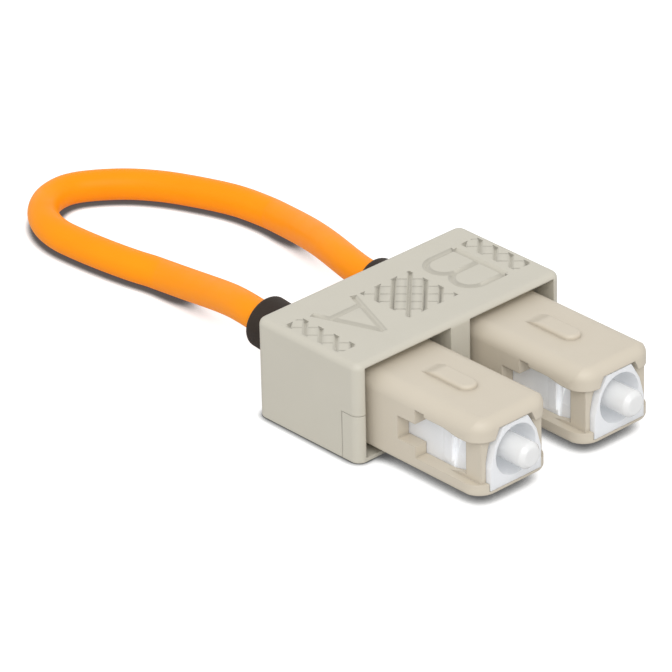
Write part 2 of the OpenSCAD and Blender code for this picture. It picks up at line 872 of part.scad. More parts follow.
// Faces of a tube of rings, each with the given number of sides, closed at both
// ends. The rings are listed one after another.
function tube_faces(rings, sides) = concat(
    [[for (j = [0 : sides - 1]) j]],
    [for (i = [0 : rings - 2], j = [0 : sides - 1])
        [i * sides + j, (i + 1) * sides + j, (i + 1) * sides + (j + 1) % sides]],
    [for (i = [0 : rings - 2], j = [0 : sides - 1])
        [i * sides + j, (i + 1) * sides + (j + 1) % sides, i * sides + (j + 1) % sides]],
    [[for (j = [sides - 1 : -1 : 0]) (rings - 1) * sides + j]]
);

module ferrule_spring(side) {
    steps = coil_turns * TURN_STEPS;
    first_y = flange_end + tight_clear + wire_d / 2;
    length = ring_start - tight_clear - wire_d / 2 - first_y;
    points = [for (i = [0 : steps], j = [0 : WIRE_SIDES - 1])
        coil_point(i / steps, 360 * j / WIRE_SIDES, length)];
    color(STEEL)
        at_plug(side)
            translate([0, first_y, 0])
                polyhedron(points, tube_faces(steps + 1, WIRE_SIDES));
}

// ---- Posts, crimp sleeves, buffers and boots ----

module back_post(side) {
    ring_r = cavity_d / 2 - tight_clear;
    groove_r = post_d / 2 - post_groove_depth;
    groove_pitch = (post_end - crimp_start) / (post_grooves + 1);
    color(METAL)
        at_plug(side)
            difference() {
                union() {
                    bar_y(ring_start, collar_end, 2 * ring_r);
                    bar_y(collar_start, collar_end, collar_d);
                    bar_y(collar_start, post_end, post_d);
                }
                bar_y(ring_start - past, post_end + past, post_bore_d);
                for (i = [1 : post_grooves])
                    round_y()
                        translate([groove_r, crimp_start + (i - 0.5) * groove_pitch])
                            square([past, groove_pitch / 2]);
            }
}

module crimp_sleeve(side) {
    big_bore = crimp_big_r - crimp_wall;
    bore_step = post_end + tight_clear;
    color(METAL)
        at_plug(side)
            round_y()
                polygon([
                    [big_bore, crimp_start], [crimp_big_r, crimp_start],
                    [crimp_big_r, crimp_step], [crimp_small_r, crimp_step],
                    [crimp_small_r, crimp_end], [cable_hole_r, crimp_end],
                    [cable_hole_r, bore_step], [big_bore, bore_step]
                ]);
}

module buffer_tube(side) {
    color(CABLE_ORANGE)
        at_plug(side)
            bar_y(buffer_start, buffer_end, buffer_d);
}

// Moves what is drawn from the bend of a boot backwards into its bent place
module past_bend(up) {
    translate([0, bend_y, 0])
        rotate([up, 0, 0])
            children();
}

// The space before (-1) or behind (1) the plane that halves a boot's bend
module bend_half(up, way) {
    past_bend(up / 2)
        translate([0, way * boot_len / 2, 0])
            cube([2 * boot_d, boot_len, 2 * boot_d], center = true);
}

module boot(side) {
    up = side == SIDE_A ? boot_up_a : boot_up_b;
    slip = side == SIDE_A ? boot_slip_a : boot_slip_b;
    rim = bent_len - boot_rim_r;
    rim_centre = boot_d / 2 - boot_rim_r;
    big_end = crimp_step + boot_play + tight_clear;
    small_end = crimp_end + boot_play + tight_clear;
    color(BOOT_BLACK)
        at_plug(side)
            translate([0, slip, 0]) {
                // The stretch in the block, hollow for the crimp sleeve
                difference() {
                    bar_y(boot_start, bend_y + past, boot_d);
                    bar_y(boot_start - past, big_end, 2 * (crimp_big_r + tight_clear));
                    bar_y(boot_start, small_end, 2 * (crimp_small_r + tight_clear));
                    bar_y(boot_start, bend_y + 2 * past, 2 * cable_hole_r);
                    bend_half(up, 1);
                }
                // The stretch behind the bend
                difference() {
                    past_bend(up)
                        difference() {
                            union() {
                                bar_y(-past, rim, boot_d);
                                bar_y(0, bent_len, 2 * rim_centre);
                                round_y()
                                    translate([rim_centre, rim])
                                        circle(r = boot_rim_r);
                            }
                            bar_y(-2 * past, boot_len, cable_d + 2 * bent_clear);
                        }
                    bend_half(up, -1);
                }
            }
}

// ---- Cable ----

function unit(v) = v / norm(v);

// Direction of the route at point i, halfway between its two stretches
function heading(route, i) =
    let (
        last = len(route) - 1,
        before = i == 0 ? route[1] - route[0] : route[i] - route[i - 1],
        after = i == last ? before : route[i + 1] - route[i]
    )
    unit(unit(before) + unit(after));

// A ring of points round point i of the route, square to its heading
function route_ring(route, i, r, sides) =
    let (
        ahead = heading(route, i),
        across = unit(cross(ahead, [0, 0, 1])),
        up = cross(across, ahead)
    )
    [for (j = [0 : sides - 1])
        let (a = 360 * (j + 0.5) / sides)
        route[i] + r * (cos(a) * across + sin(a) * up)];

module fibre_loop() {
    rings = len(CABLE_ROUTE);
    points = [for (i = [0 : rings - 1])
        each route_ring(CABLE_ROUTE, i, cable_d / 2, CABLE_SIDES)];
    color(CABLE_ORANGE)
        polyhedron(points, tube_faces(rings, CABLE_SIDES));
}

// ---- The nodes ----

housing_base();
housing_cover();
outer_shell(SIDE_A);  // outer_shell_a
outer_shell(SIDE_B);  // outer_shell_b
plug_frame(SIDE_A);  // plug_frame_a
plug_frame(SIDE_B);  // plug_frame_b
ferrule(SIDE_A);  // ferrule_a
ferrule(SIDE_B);  // ferrule_b
ferrule_flange(SIDE_A);  // ferrule_flange_a
ferrule_flange(SIDE_B);  // ferrule_flange_b
ferrule_spring(SIDE_A);  // ferrule_spring_a
ferrule_spring(SIDE_B);  // ferrule_spring_b
back_post(SIDE_A);  // back_post_a
back_post(SIDE_B);  // back_post_b
crimp_sleeve(SIDE_A);  // crimp_sleeve_a
crimp_sleeve(SIDE_B);  // crimp_sleeve_b
buffer_tube(SIDE_A);  // buffer_tube_a
buffer_tube(SIDE_B);  // buffer_tube_b
boot(SIDE_A);  // boot_a
boot(SIDE_B);  // boot_b
fibre_loop();
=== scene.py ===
# %% [markdown]
# # A duplex fibre loopback plug
#
# This plug sends a port's own light back to it. A grey clip block holds two
# beige connectors side by side. Each one has a white frame in a sliding shell,
# with a ceramic ferrule in the middle that carries the glass fibre. A short
# orange cable joins the two at the back.
#
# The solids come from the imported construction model, and they could be drawn
# again here. They are loaded instead, so that both models share one set of
# sizes. This script adds the cable, the lettering and the finishes.

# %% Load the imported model
import math

import bmesh
import bpy
from mathutils import Matrix, Vector


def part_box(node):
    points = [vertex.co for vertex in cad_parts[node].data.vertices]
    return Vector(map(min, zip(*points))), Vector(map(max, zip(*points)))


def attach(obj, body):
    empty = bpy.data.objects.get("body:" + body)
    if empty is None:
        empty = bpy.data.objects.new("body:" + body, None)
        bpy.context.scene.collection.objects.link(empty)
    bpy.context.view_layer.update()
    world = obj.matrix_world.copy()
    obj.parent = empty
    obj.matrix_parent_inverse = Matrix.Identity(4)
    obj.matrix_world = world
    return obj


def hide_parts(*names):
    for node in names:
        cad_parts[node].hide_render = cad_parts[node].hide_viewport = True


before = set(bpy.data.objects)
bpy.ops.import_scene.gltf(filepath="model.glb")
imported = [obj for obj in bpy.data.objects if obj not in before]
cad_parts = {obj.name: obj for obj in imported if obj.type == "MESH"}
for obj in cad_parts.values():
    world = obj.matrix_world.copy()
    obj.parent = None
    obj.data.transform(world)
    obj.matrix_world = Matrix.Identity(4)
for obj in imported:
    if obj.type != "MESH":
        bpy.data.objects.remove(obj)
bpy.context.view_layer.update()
MM = 0.001
print("nodes:", len(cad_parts))

# %% [markdown]
# ## The camera
#
# A small object shot from far away with a long lens has nearly parallel edges.
# A camera without perspective would be close to that, but the far end of the
# object should still look a little smaller. So the camera stands half a metre
# off and uses a very long lens. Its place is given by a heading round the
# object, a height angle and a slight roll.

# %% Camera
HEADING = math.radians(-42.47)
HEIGHT_ANGLE = math.radians(28.70)
ROLL = math.radians(-1.315)
AIM_POINT = Vector((-7.11, 1.93, 7.62)) * MM
CAMERA_DISTANCE = 512.2 * MM
LENS = 311.4
NEAREST_SEEN, FURTHEST_SEEN = 0.05, 20


def camera_axes(heading, height_angle, roll):
    """The camera's right, up and backward directions."""
    back = Vector((
        math.sin(heading) * math.cos(height_angle),
        -math.cos(heading) * math.cos(height_angle),
        math.sin(height_angle),
    ))
    right = Vector((math.cos(heading), math.sin(heading), 0))
    up = back.cross(right)
    rolled_right = right * math.cos(roll) + up * math.sin(roll)
    rolled_up = up * math.cos(roll) - right * math.sin(roll)
    return rolled_right, rolled_up, back


def add_to_scene(name, data):
    """Puts new data into the scene as an object."""
    thing = bpy.data.objects.new(name, data)
    bpy.context.scene.collection.objects.link(thing)
    return thing


right, up, back = camera_axes(HEADING, HEIGHT_ANGLE, ROLL)
camera_data = bpy.data.cameras.new("camera")
camera_data.lens = LENS
camera_data.clip_start = NEAREST_SEEN
camera_data.clip_end = FURTHEST_SEEN
camera = add_to_scene("camera", camera_data)
turn = Matrix((right, up, back)).transposed().to_4x4()
camera.matrix_world = Matrix.Translation(AIM_POINT + back * CAMERA_DISTANCE) @ turn
bpy.context.scene.camera = camera
bpy.context.scene.view_settings.view_transform = "Standard"
print("camera at", [round(c, 3) for c in camera.location])

# %% [markdown]
# ## Helpers for node trees
#
# Both materials and geometry use nodes. Each node could be added and joined up
# line by line, but the trees below would then be long and hard to follow. These
# helpers add a node, set its sockets by name and join it up, so that each tree
# reads like a recipe.

# %% Node helpers
def fill_socket(tree, socket, value):
    """Joins a socket to another node's output, or gives it a plain value."""
    if isinstance(value, bpy.types.NodeSocket):
        tree.links.new(value, socket)
    else:
        socket.default_value = value


def add_node(tree, kind, inputs=None, **settings):
    """Adds a node. Each input is either a value or another node's output."""
    node = tree.nodes.new(kind)
    for name, value in settings.items():
        setattr(node, name, value)
    for name, value in (inputs or {}).items():
        fill_socket(tree, node.inputs[name], value)
    return node


def add_sockets(tree, side, sockets):
    """Gives a group its named inputs or outputs: (name, type, value)."""
    for name, kind, value in sockets:
        socket = tree.interface.new_socket(name=name, in_out=side, socket_type=kind)
        if value is not None:
            socket.default_value = value


def math_node(tree, operation, a, b, clamp=False):
    """One sum. a and b are numbers or sockets."""
    node = add_node(tree, "ShaderNodeMath", {0: a, 1: b}, operation=operation, use_clamp=clamp)
    return node.outputs[0]


def map_range(tree, value, low, high, to_low=0.0, to_high=1.0):
    """Carries the range from low to high over to another, and stops at its ends."""
    node = add_node(tree, "ShaderNodeMapRange", {
        "Value": value, "From Min": low, "From Max": high, "To Min": to_low, "To Max": to_high,
    })
    return node.outputs["Result"]


# A colour Mix node has these places for its factor and its two colours.
MIX_FACTOR, MIX_FIRST, MIX_SECOND, MIX_RESULT = 0, 6, 7, 2


def colour_mix(tree, factor, a, b):
    """Goes from colour a to colour b as the factor goes from 0 to 1."""
    node = tree.nodes.new("ShaderNodeMix")
    node.data_type = "RGBA"
    for place, value in ((MIX_FACTOR, factor), (MIX_FIRST, a), (MIX_SECOND, b)):
        fill_socket(tree, node.inputs[place], value)
    return node.outputs[MIX_RESULT]


print("helpers ready")

# %% [markdown]
# ## The cable
#
# The cable is one fibre in a 3 mm jacket. It leaves the first boot level, sinks
# to the table in a few diameters, and comes round in one loop to the second
# boot. It is stiff for its size, so its curve has no sudden bends.
#
# A simulated rope could find its rest by itself. The route of a short, stiff
# loop is known, so a list of points along its middle is simpler and always the
# same. A smooth curve passes through them. Where the cable hangs free, each
# point is then drawn between its neighbours, as a stiff jacket does.

# %% Cable route
CABLE_WIDTH = 3.0 * MM
CABLE_ROUTE = [
    (-6.35, 3.1, 4.65), (-6.35, 8.475, 4.65), (-6.35, 12.2, 5.04), (-6.1, 14.2, 5),
    (-5.4, 16.3, 4.7), (-4.7, 18.6, 4.15), (-4.1, 21.5, 3.3), (-3.4, 24.5, 2.5),
    (-2.9, 27.5, 1.8), (-2.9, 30.5, 1.5), (-3.5, 33.5, 1.5), (-4, 37, 1.5),
    (-4.3, 40.5, 1.5), (-4.3, 43, 1.5), (-3.7, 45.4, 1.5), (-2.4, 47.5, 1.5),
    (-0.4, 49, 1.5), (2, 49.4, 1.5), (4.2, 48.5, 1.5), (6.9, 46.3, 1.5),
    (9, 43.5, 1.5), (10.6, 40.2, 1.5), (11.9, 36.6, 1.5), (12.4, 33.4, 1.5),
    (12.4, 30.4, 1.6), (11.8, 27.8, 2), (10.9, 25, 2.7), (9.7, 22, 3.4),
    (8.4, 19, 4.1), (7.3, 16.2, 4.45), (6.6, 13.6, 4.4), (6.35, 11.2, 4.26),
    (6.35, 7.475, 4.65), (6.35, 3.1, 4.65),
]
STEPS_PER_POINT = 8
EVENING_ROUNDS = 160
LYING_HEIGHT = 1.55 * MM


def smooth_path(points, steps):
    """Points on a smooth curve that passes through each given point."""
    ends = [points[0] * 2 - points[1]] + points + [points[-1] * 2 - points[-2]]
    path = []
    for a, b, c, d in zip(ends, ends[1:], ends[2:], ends[3:]):
        for step in range(steps):
            t = step / steps
            path.append(0.5 * (
                2 * b + (c - a) * t + (2 * a - 5 * b + 4 * c - d) * t ** 2
                + (3 * b - a - 3 * c + d) * t ** 3
            ))
    path.append(points[-1])
    return path


def evened(path, rounds):
    """The path with each point that hangs free drawn between its neighbours."""
    for _ in range(rounds):
        inner = [
            (a + 2 * b + c) / 4 if b.z > LYING_HEIGHT else b
            for a, b, c in zip(path, path[1:], path[2:])
        ]
        path = path[:1] + inner + path[-1:]
    return path


cable_path = smooth_path([Vector(p) * MM for p in CABLE_ROUTE], STEPS_PER_POINT)
cable_path = evened(cable_path, EVENING_ROUNDS)
for point in cable_path:
    point.z = max(point.z, CABLE_WIDTH / 2)

# %% [markdown]
# ## Sweeping along a line
#
# A round section that follows a line is what Geometry Nodes are made for. A
# curve object with a bevel would give the same tube, but not the marks that the
# finish needs. These nodes keep how far along and how far round each point lies,
# because the jacket's fine draw lines follow the cable and not the room.

# %% Tube with marks
def tube_with_marks(tree, line, radius, sides):
    """A tube along the line, and the mark of each point's place on it."""
    along = add_node(tree, "GeometryNodeSplineParameter")
    marked = add_node(tree, "GeometryNodeCaptureAttribute", {0: line}, domain="POINT")
    marked.capture_items.new("FLOAT", "Along")
    tree.links.new(along.outputs["Length"], marked.inputs["Along"])
    circle = add_node(tree, "GeometryNodeCurvePrimitiveCircle", {
        "Resolution": sides, "Radius": radius,
    })
    around = add_node(tree, "GeometryNodeCaptureAttribute", {0: circle.outputs[0]}, domain="POINT")
    around.capture_items.new("FLOAT", "Around")
    tree.links.new(along.outputs["Length"], around.inputs["Around"])
    tube = add_node(tree, "GeometryNodeCurveToMesh", {
        "Curve": marked.outputs[0], "Profile Curve": around.outputs[0], "Fill Caps": True,
    })
    place = add_node(tree, "ShaderNodeCombineXYZ", {
        "X": marked.outputs["Along"], "Y": around.outputs["Around"],
    })
    return tube.outputs[0], place.outputs[0]


print("step ready:", tube_with_marks.__name__)

# %% [markdown]
# The tree takes its sizes as named inputs, so it could sweep a thicker or a
# thinner cable as well. The export drops instances, and a swept mesh has no
# material yet. So each tree here ends in the same two steps: real mesh first,
# then the material.

# %% Sweep tree for the cable
JACKET_SIDES = 40


def solid_with_material(tree, shape, material):
    """The last two steps of each tree: real mesh, in its material."""
    solid = add_node(tree, "GeometryNodeRealizeInstances", {"Geometry": shape})
    dressed = add_node(tree, "GeometryNodeSetMaterial", {
        "Geometry": solid.outputs[0], "Material": material,
    })
    return dressed.outputs[0]


def sweep_tree():
    """A tree that sweeps a circle along the edges it is given."""
    tree = bpy.data.node_groups.new("cable_sweep", "GeometryNodeTree")
    add_sockets(tree, "INPUT", [
        ("Path", "NodeSocketGeometry", None),
        ("Width", "NodeSocketFloat", CABLE_WIDTH),
        ("Sides", "NodeSocketInt", JACKET_SIDES),
        ("Material", "NodeSocketMaterial", None),
    ])
    add_sockets(tree, "OUTPUT", [("Cable", "NodeSocketGeometry", None)])
    given = tree.nodes.new("NodeGroupInput").outputs
    radius = math_node(tree, "MULTIPLY", given["Width"], 0.5)
    line = add_node(tree, "GeometryNodeMeshToCurve", {"Mesh": given["Path"]})
    tube, place = tube_with_marks(tree, line.outputs[0], radius, given["Sides"])
    stored = add_node(tree, "GeometryNodeStoreNamedAttribute", {
        "Geometry": tube, "Name": "jacket_place", "Value": place,
    }, data_type="FLOAT_VECTOR", domain="POINT")
    smooth = add_node(tree, "GeometryNodeSetShadeSmooth", {"Geometry": stored.outputs[0]})
    cable = solid_with_material(tree, smooth.outputs[0], given["Material"])
    add_node(tree, "NodeGroupOutput", {"Cable": cable})
    return tree


CABLE_SWEEP = sweep_tree()
print("tree:", CABLE_SWEEP.name, "with", len(CABLE_SWEEP.nodes), "nodes")

# %% [markdown]
# A tree runs as a modifier. It could stay live, but a plain mesh is easier to
# check and to export. So this helper gives the modifier its values, keeps the
# mesh that comes out, and throws the modifier away.

# %% Run a geometry tree
def path_mesh(name, paths):
    """A mesh of loose edges through each list of points."""
    mesh = bpy.data.meshes.new(name)
    points = [p for path in paths for p in path]
    edges, start = [], 0
    for path in paths:
        edges += [(start + i, start + i + 1) for i in range(len(path) - 1)]
        start += len(path)
    mesh.from_pydata(points, edges, [])
    return mesh


def plain_mesh(piece):
    """The piece's mesh with all its modifiers worked in."""
    settled = piece.evaluated_get(bpy.context.evaluated_depsgraph_get())
    return bpy.data.meshes.new_from_object(settled)


def grow(name, mesh, tree, **values):
    """Runs the tree on the mesh and returns the result as a plain object."""
    holder = add_to_scene(name + "_path", mesh)
    modifier = holder.modifiers.new("grow", "NODES")
    modifier.node_group = tree
    for socket in tree.interface.items_tree:
        if socket.in_out == "INPUT" and socket.name in values:
            modifier[socket.identifier] = values[socket.name]
    result = plain_mesh(holder)
    result.name = name
    holder.modifiers.remove(modifier)
    bpy.data.objects.remove(holder)
    print(name, "has", len(result.polygons), "faces")
    return add_to_scene(name, result)



# %% [markdown]
# ## Shared effects
#
# Moulded plastic is never one flat colour. Four effects make it look real. They
# could be drawn again in each material. As node groups they are built once, and
# each material places them with its own values:
#
# - a soft edge, because a mould's corners are never razor sharp
# - painted shade in narrow recesses, where little light comes
# - fine grain from the mould's surface
# - slow drifts of tone, from how the plastic flowed
#
# The first one only rounds the shading. Real bevels on every edge would cost
# many faces, and at this size they would look the same.

# %% Soft edges
EDGE_GAIN = 5.0


def soft_edge_group():
    """Rounds the shading at corners and marks where they are."""
    tree = bpy.data.node_groups.new("soft_edge", "ShaderNodeTree")
    add_sockets(tree, "INPUT", [("Radius", "NodeSocketFloat", 0.1 * MM)])
    add_sockets(tree, "OUTPUT", [
        ("Normal", "NodeSocketVector", None), ("Edge", "NodeSocketFloat", None),
    ])
    given = tree.nodes.new("NodeGroupInput").outputs
    bevel = add_node(tree, "ShaderNodeBevel", {"Radius": given["Radius"]}, samples=6)
    flat = add_node(tree, "ShaderNodeNewGeometry")
    likeness = add_node(tree, "ShaderNodeVectorMath", {
        0: bevel.outputs[0], 1: flat.outputs["Normal"],
    }, operation="DOT_PRODUCT")
    turned = math_node(tree, "SUBTRACT", 1.0, likeness.outputs["Value"])
    edge = math_node(tree, "MULTIPLY", turned, EDGE_GAIN, clamp=True)
    add_node(tree, "NodeGroupOutput", {"Normal": bevel.outputs[0], "Edge": edge})
    return tree


SOFT_EDGE = soft_edge_group()
print("group:", SOFT_EDGE.name)

# %% [markdown]
# Grooves get little light, so they look darker than the skin round them. That
# shade is painted into the colour of the plastics. A hand-painted mask could say
# where the grooves are. The Ambient Occlusion node finds them by itself: it asks
# how much of the piece stands close around each point.

# %% Shade in the recesses
FULLY_CLOSED = 0.50


def recess_group():
    """Marks the open skin with 1 and narrow recesses with less, where painted shade and glow go."""
    tree = bpy.data.node_groups.new("recess_shade", "ShaderNodeTree")
    add_sockets(tree, "INPUT", [("Reach", "NodeSocketFloat", 0.4 * MM)])
    add_sockets(tree, "OUTPUT", [("Open", "NodeSocketFloat", None)])
    given = tree.nodes.new("NodeGroupInput").outputs
    nook = add_node(
        tree, "ShaderNodeAmbientOcclusion", {"Distance": given["Reach"]}, samples=8, only_local=True,
    )
    open_skin = map_range(tree, nook.outputs["AO"], FULLY_CLOSED, 1.0)
    add_node(tree, "NodeGroupOutput", {"Open": open_skin})
    return tree


RECESS = recess_group()
print("group:", RECESS.name)

# %% [markdown]
# The last group holds three noises that lie in the object's own space: fine
# grain, slow drifts of tone, and smudges of a size between the two. A painted
# texture would need unwrapped pieces, and it would go soft in close views.

# %% Mould grain and tone
SMUDGES_PER_DRIFT = 3.7


def mould_skin_group():
    """Fine grain, slow drifts of tone and smudges, from the object's own place."""
    tree = bpy.data.node_groups.new("mould_skin", "ShaderNodeTree")
    add_sockets(tree, "INPUT", [
        ("Grain Size", "NodeSocketFloat", 0.12 * MM),
        ("Drift Size", "NodeSocketFloat", 6 * MM),
    ])
    add_sockets(tree, "OUTPUT", [
        ("Grain", "NodeSocketFloat", None), ("Drift", "NodeSocketFloat", None),
        ("Smudge", "NodeSocketFloat", None),
    ])
    given = tree.nodes.new("NodeGroupInput").outputs
    place = add_node(tree, "ShaderNodeTexCoord").outputs["Object"]
    fine = math_node(tree, "DIVIDE", 1.0, given["Grain Size"])
    slow = math_node(tree, "DIVIDE", 1.0, given["Drift Size"])
    middle = math_node(tree, "MULTIPLY", slow, SMUDGES_PER_DRIFT)

    def noise(scale, detail, roughness):
        node = add_node(tree, "ShaderNodeTexNoise", {
            "Vector": place, "Scale": scale, "Detail": detail, "Roughness": roughness,
        })
        return node.outputs["Fac"]

    add_node(tree, "NodeGroupOutput", {
        "Grain": noise(fine, 2.0, 0.6),
        "Drift": noise(slow, 2.0, 0.5),
        "Smudge": noise(middle, 4.0, 0.65),
    })
    return tree


MOULD_SKIN = mould_skin_group()
print("group:", MOULD_SKIN.name)

# %% [markdown]
# ## Helpers for materials
#
# Every finish below is one Principled shader, with the shared groups joined to
# its inputs. These helpers make the empty material, place a group in it, shift a
# colour, and raise fine marks on the skin. The marks are bump, which only turns
# the shading. Real grains would need millions of faces.

# %% Material helpers
def toned(colour, gain):
    """The colour made lighter or darker, with the alpha that a socket wants."""
    return tuple(min(1.0, c * gain) for c in colour) + (1.0,)


def new_material(name):
    """An empty material: itself, its tree and its shader's inputs."""
    material = bpy.data.materials.new(name)
    material.use_nodes = True
    tree = material.node_tree
    return material, tree, tree.nodes["Principled BSDF"].inputs


def group_node(tree, group, **inputs):
    """Places a shared group with its own values."""
    node = tree.nodes.new("ShaderNodeGroup")
    node.node_tree = group
    for name, value in inputs.items():
        node.inputs[name.replace("_", " ").title()].default_value = value
    return node.outputs


def add_relief(tree, shader, height, strength, depth, normal=None):
    """Raises fine marks on the skin by shading alone."""
    bump = add_node(tree, "ShaderNodeBump", {
        "Strength": strength, "Distance": depth, "Height": height,
    })
    if normal is not None:
        tree.links.new(normal, bump.inputs["Normal"])
    tree.links.new(bump.outputs["Normal"], shader["Normal"])


print("helpers ready for materials")

# %% [markdown]
# ## Moulded plastics
#
# The block, the shells and the frames are all injection moulded, in three
# colours. Three separate materials could be drawn, but they would say the same
# thing three times. One recipe makes them all: a tone that drifts slightly, a
# little paler along the edges, partly where they rub and partly as a painted
# highlight, darker in the recesses as painted shade, with grain as bump, and a
# roughness that follows the smudges.

# %% Moulded plastic recipe
# Share and gain of the paler edges: partly rub wear, partly a painted highlight.
EDGE_HIGHLIGHT_AND_WEAR_SHARE, EDGE_HIGHLIGHT_AND_WEAR_GAIN = 0.35, 1.10
SMUDGE_LOW, SMUDGE_HIGH = 0.3, 0.7
ROUGHNESS_SPREAD = 0.06
GRAIN_HEIGHT = 0.02 * MM
PLASTIC_SHINE = 0.45


def moulded(name, colour, rough, grain_size, bump, edge_radius, drift=0.03, recess_shade=1.0):
    """Injection-moulded plastic in one colour. The recess tone is the painted shade in the grooves."""
    material, tree, shader = new_material(name)
    skin = group_node(tree, MOULD_SKIN, grain_size=grain_size)
    edge = group_node(tree, SOFT_EDGE, radius=edge_radius)
    open_skin = group_node(tree, RECESS)["Open"]
    tone = colour_mix(tree, skin["Drift"], toned(colour, 1 - drift), toned(colour, 1 + drift))
    # Paler edges: partly rub wear, partly a painted highlight along the edges.
    edge_highlight_and_wear = math_node(tree, "MULTIPLY", edge["Edge"], EDGE_HIGHLIGHT_AND_WEAR_SHARE)
    tone_with_edge_highlight_and_wear = colour_mix(tree, edge_highlight_and_wear, tone, toned(colour, EDGE_HIGHLIGHT_AND_WEAR_GAIN))
    # Painted shade: the recesses that the mask finds are darkened to the recess tone.
    with_recess_shade = colour_mix(tree, open_skin, toned(colour, recess_shade), tone_with_edge_highlight_and_wear)
    fill_socket(tree, shader["Base Color"], with_recess_shade)
    fill_socket(tree, shader["Roughness"], map_range(
        tree, skin["Smudge"], SMUDGE_LOW, SMUDGE_HIGH, rough - ROUGHNESS_SPREAD, rough + ROUGHNESS_SPREAD,
    ))
    add_relief(tree, shader, skin["Grain"], strength=bump, depth=GRAIN_HEIGHT, normal=edge["Normal"])
    shader["Specular IOR Level"].default_value = PLASTIC_SHINE
    return material


print("recipe ready:", moulded.__name__)

# %% [markdown]
# The three plastics differ in colour and in the mould that made them. The block
# has the roughest skin and the softest edges, because it is the part that
# fingers hold. The shells are smoother. The frames are nearly glossy, since they
# slide inside the shells.

# %% The three plastics
BLOCK_GREY = (0.610, 0.580, 0.495)
SHELL_BEIGE = (0.650, 0.585, 0.478)
FRAME_WHITE = (0.770, 0.778, 0.795)
block_plastic = moulded(
    "block_plastic", BLOCK_GREY, rough=0.48, grain_size=0.10 * MM, bump=0.35,
    edge_radius=0.20 * MM, recess_shade=0.66,
)
shell_plastic = moulded(
    "shell_plastic", SHELL_BEIGE, rough=0.46, grain_size=0.14 * MM, bump=0.20,
    edge_radius=0.14 * MM, recess_shade=0.85,
)
frame_plastic = moulded(
    "frame_plastic", FRAME_WHITE, rough=0.34, grain_size=0.14 * MM, bump=0.12,
    edge_radius=0.08 * MM, drift=0.015,
)
print("plastics:", block_plastic.name, shell_plastic.name, frame_plastic.name)

# %% [markdown]
# Thin white plastic is not quite opaque. Light enters it, wanders, and comes out
# again nearby, so its hollows are never dark. Subsurface scattering does the
# wandering. It would need many bounces to fill the bores, so a faint painted glow
# over the whole piece, stronger in the hollows, stands for the light that comes
# through from the far side.

# %% Light in the white pieces
HOLLOW_REACH = 2.0 * MM
HOLLOW_GLOW_COLOUR = (0.93, 0.97, 1.0, 1.0)
OPEN_SKIN_GLOW_COLOUR = (0.25, 0.26, 0.27, 1.0)


def let_light_in_and_glow(material, share, depth, glow):
    """Lets light wander under the skin, and paints a faint glow, stronger in the hollows."""
    tree = material.node_tree
    shader = tree.nodes["Principled BSDF"].inputs
    open_skin = group_node(tree, RECESS, reach=HOLLOW_REACH)["Open"]
    # Painted glow: the piece emits faint light, strongest in its hollows.
    painted_glow = colour_mix(tree, open_skin, HOLLOW_GLOW_COLOUR, OPEN_SKIN_GLOW_COLOUR)
    fill_socket(tree, shader["Emission Color"], painted_glow)
    shader["Emission Strength"].default_value = glow
    shader["Subsurface Weight"].default_value = share
    shader["Subsurface Radius"].default_value = (1.0, 1.0, 1.0)
    shader["Subsurface Scale"].default_value = depth


let_light_in_and_glow(frame_plastic, share=0.4, depth=1.0 * MM, glow=0.32)
print("light goes into", frame_plastic.name)

# %% [markdown]
# ## Ceramic, rubber and metal
#
# The ferrule is zirconia: dense, white and polished, with a ground side. A plain
# glossy white would look like enamel, so it gets the smudges of handling, lets
# a little light in and has a faint painted glow, as the frame does.

# %% Ceramic
CERAMIC_DARK = (0.78, 0.78, 0.775, 1)
CERAMIC_PALE = (0.82, 0.82, 0.815, 1)
CERAMIC_ROUGH = (0.10, 0.26)
CERAMIC_IOR = 1.6


def polished_ceramic():
    """Zirconia with a ground side and a gloss over it."""
    material, tree, shader = new_material("ferrule_ceramic")
    skin = group_node(tree, MOULD_SKIN, grain_size=0.05 * MM, drift_size=1.5 * MM)
    edge = group_node(tree, SOFT_EDGE, radius=0.3 * MM)
    fill_socket(tree, shader["Base Color"], colour_mix(tree, skin["Drift"], CERAMIC_DARK, CERAMIC_PALE))
    fill_socket(tree, shader["Roughness"], map_range(tree, skin["Smudge"], 0.0, 1.0, *CERAMIC_ROUGH))
    add_relief(tree, shader, skin["Grain"], strength=0.05, depth=0.01 * MM, normal=edge["Normal"])
    shader["IOR"].default_value = CERAMIC_IOR
    return material


ferrule_ceramic = polished_ceramic()
let_light_in_and_glow(ferrule_ceramic, share=0.6, depth=0.8 * MM, glow=0.10)
print("ceramic:", ferrule_ceramic.name)

# %% [markdown]
# The boots are matt black rubber. Pure black would show no form at all, so the
# tone is a very dark brown-grey, paler along the edges: partly dust where
# fingers rub it, partly a painted rim highlight.

# %% Rubber
RUBBER_DARK = (0.026, 0.017, 0.012, 1)
RUBBER_PALE = (0.040, 0.029, 0.022, 1)
RUBBER_DUST_AND_RIM_HIGHLIGHT = (0.045, 0.042, 0.038, 1)
RUBBER_ROUGH = (0.55, 0.8)
RUBBER_SHINE = 0.25


